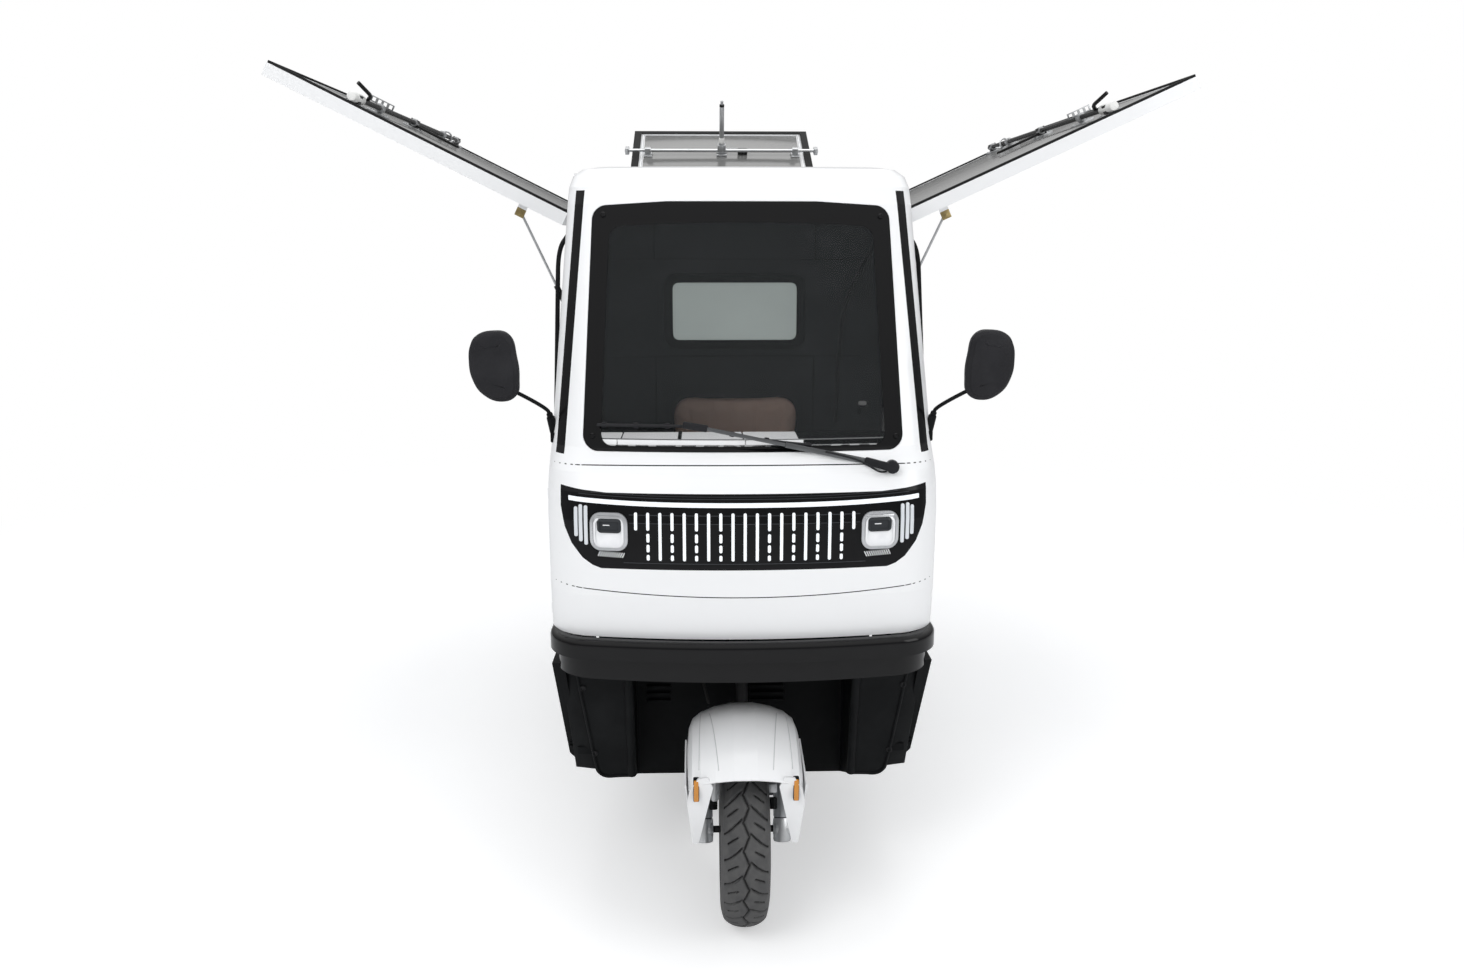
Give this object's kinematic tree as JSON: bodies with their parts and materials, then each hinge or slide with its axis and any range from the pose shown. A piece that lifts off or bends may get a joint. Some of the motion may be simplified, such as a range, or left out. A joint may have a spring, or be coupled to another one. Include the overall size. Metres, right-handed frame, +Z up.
{
  "type": "electric cargo tricycle",
  "caption": "Closed one-seat cab over a single steered wheel, with a cargo box behind it whose side wings and rear door lift on gas struts.",
  "frame": {"origin": "on the ground, at the centre of the outline seen from above with the wings and the rear door open", "axes": "+Z up, -Y forward past the nose, +X to the side seen at the right from the front"},
  "size_m": [2.8437, 3.6794, 2.466],
  "materials": {
    "white_paint": "gloss",
    "grey_panel": "gloss",
    "black_gloss": "gloss",
    "black_plastic": "matte",
    "grey_lining": "matte",
    "clear_glass": "gloss",
    "lamp_white": "gloss",
    "lamp_red": "gloss",
    "seat_vinyl": "satin",
    "seat_box": "matte",
    "black_steel": "satin",
    "chequer_floor": "brushed",
    "silver_cast": "satin",
    "zinc": "satin",
    "strut_black": "satin",
    "tyre_rubber": "matte"
  },
  "bodies": {
    "chassis": {"chassis_frame": "black_steel", "head_tube": "black_steel", "cab_floor": "black_plastic", "cab_shell": "white_paint", "nose_panel": "white_paint", "windscreen": "clear_glass", "pillar_strips": "black_gloss", "lamp_panel": "black_gloss", "light_strips": "lamp_white", "headlamps": "lamp_white", "bumper": "black_gloss", "apron": "black_plastic", "side_sills": "black_plastic", "cab_rear_wall": "grey_lining", "rear_window": "clear_glass", "dashboard": "black_plastic", "seat_base": "seat_box", "seat_cushion": "seat_vinyl", "seat_backrest": "seat_vinyl", "wiper": "black_plastic", "mirrors": "black_plastic", "box_frame": "white_paint", "box_roof": "white_paint", "box_front_wall": "white_paint", "box_floor": "chequer_floor", "box_sides": "white_paint", "rear_surround": "white_paint", "tail_lamps": "lamp_red", "battery_case": "seat_box", "rear_axle": "black_steel", "leaf_springs": "black_steel", "rear_mudguards": "black_plastic", "rear_bumper": "black_steel"},
    "steering": {"fork": "silver_cast", "front_mudguard": "white_paint", "handlebar": "black_plastic"},
    "front_wheel": {"front_tyre": "tyre_rubber", "front_rim": "silver_cast"},
    "rear_wheel_left": {"rear_left_tyre": "tyre_rubber", "rear_left_rim": "silver_cast"},
    "rear_wheel_right": {"rear_right_tyre": "tyre_rubber", "rear_right_rim": "silver_cast"},
    "wing_left": {"wing_left_panel": "grey_panel", "wing_left_lock": "zinc"},
    "wing_left_strut_tubes": {"wing_left_strut_tubes": "strut_black"},
    "wing_left_strut_rods": {"wing_left_strut_rods": "zinc"},
    "wing_right": {"wing_right_panel": "grey_panel", "wing_right_lock": "zinc"},
    "wing_right_strut_tubes": {"wing_right_strut_tubes": "strut_black"},
    "wing_right_strut_rods": {"wing_right_strut_rods": "zinc"},
    "rear_door": {"rear_door_panel": "grey_panel", "rear_door_lock": "zinc"},
    "rear_door_strut_tubes": {"rear_door_strut_tubes": "strut_black"},
    "rear_door_strut_rods": {"rear_door_strut_rods": "zinc"},
    "cab_door_left": {"cab_door_left": "white_paint", "door_glass_left": "clear_glass"},
    "cab_door_right": {"cab_door_right": "white_paint", "door_glass_right": "clear_glass"}
  },
  "joints": [
    {"name": "steering", "type": "hinge", "parent": "chassis", "child": "steering", "pos_m": [0, -1.59369, 0.246], "axis": [0, 0.3746, 0.9272], "range_deg": [-35, 35]},
    {"name": "front_wheel_spin", "type": "hinge", "parent": "steering", "child": "front_wheel", "pos_m": [0, -1.59369, 0.246], "axis": [1, 0, 0], "continuous": true},
    {"name": "rear_wheel_left_spin", "type": "hinge", "parent": "chassis", "child": "rear_wheel_left", "pos_m": [-0.4, 0.32031, 0.246], "axis": [1, 0, 0], "continuous": true},
    {"name": "rear_wheel_right_spin", "type": "hinge", "parent": "chassis", "child": "rear_wheel_right", "pos_m": [0.4, 0.32031, 0.246], "axis": [1, 0, 0], "continuous": true},
    {"name": "wing_left_hinge", "type": "hinge", "parent": "chassis", "child": "wing_left", "pos_m": [-0.507, 0.00481, 1.877], "axis": [0, -1, 0], "range_deg": [0, 116.4]},
    {"name": "wing_left_strut_swing", "type": "hinge", "parent": "chassis", "child": "wing_left_strut_tubes", "pos_m": [-0.44, 0.00481, 1.371], "axis": [0, -1, 0], "range_deg": [-25.79, 0]},
    {"name": "wing_left_strut_slide", "type": "slide", "parent": "wing_left_strut_tubes", "child": "wing_left_strut_rods", "axis": [-0.4149, 0, 0.9098], "range_m": [-0.2088, 0]},
    {"name": "wing_right_hinge", "type": "hinge", "parent": "chassis", "child": "wing_right", "pos_m": [0.507, 0.00481, 1.877], "axis": [0, 1, 0], "range_deg": [0, 114.5]},
    {"name": "wing_right_strut_swing", "type": "hinge", "parent": "chassis", "child": "wing_right_strut_tubes", "pos_m": [0.44, 0.00481, 1.371], "axis": [0, 1, 0], "range_deg": [-26.01, 0]},
    {"name": "wing_right_strut_slide", "type": "slide", "parent": "wing_right_strut_tubes", "child": "wing_right_strut_rods", "axis": [0.4184, 0, 0.9083], "range_m": [-0.2038, 0]},
    {"name": "rear_door_hinge", "type": "hinge", "parent": "chassis", "child": "rear_door", "pos_m": [0, 0.83531, 1.877], "axis": [-1, 0, 0], "range_deg": [0, 116.4]},
    {"name": "rear_door_strut_swing", "type": "hinge", "parent": "chassis", "child": "rear_door_strut_tubes", "pos_m": [0, 0.76831, 1.371], "axis": [-1, 0, 0], "range_deg": [-25.79, 0]},
    {"name": "rear_door_strut_slide", "type": "slide", "parent": "rear_door_strut_tubes", "child": "rear_door_strut_rods", "axis": [0, 0.4149, 0.9098], "range_m": [-0.2088, 0]},
    {"name": "cab_door_left_hinge", "type": "hinge", "parent": "chassis", "child": "cab_door_left", "pos_m": [-0.508, -1.41769, 0.814], "axis": [0, 0, 1], "range_deg": [0, 70]},
    {"name": "cab_door_right_hinge", "type": "hinge", "parent": "chassis", "child": "cab_door_right", "pos_m": [0.508, -1.41769, 0.814], "axis": [0, 0, -1], "range_deg": [0, 70]}
  ],
  "couplings": [
    {"joint": "wing_left_strut_swing", "follows": "wing_left_hinge", "ratio": -0.22149},
    {"joint": "wing_left_strut_slide", "follows": "wing_left_hinge", "m_per_rad": -0.10267},
    {"joint": "wing_right_strut_swing", "follows": "wing_right_hinge", "ratio": -0.22705},
    {"joint": "wing_right_strut_slide", "follows": "wing_right_hinge", "m_per_rad": -0.10189},
    {"joint": "rear_door_strut_swing", "follows": "rear_door_hinge", "ratio": -0.22149},
    {"joint": "rear_door_strut_slide", "follows": "rear_door_hinge", "m_per_rad": -0.10267}
  ]
}
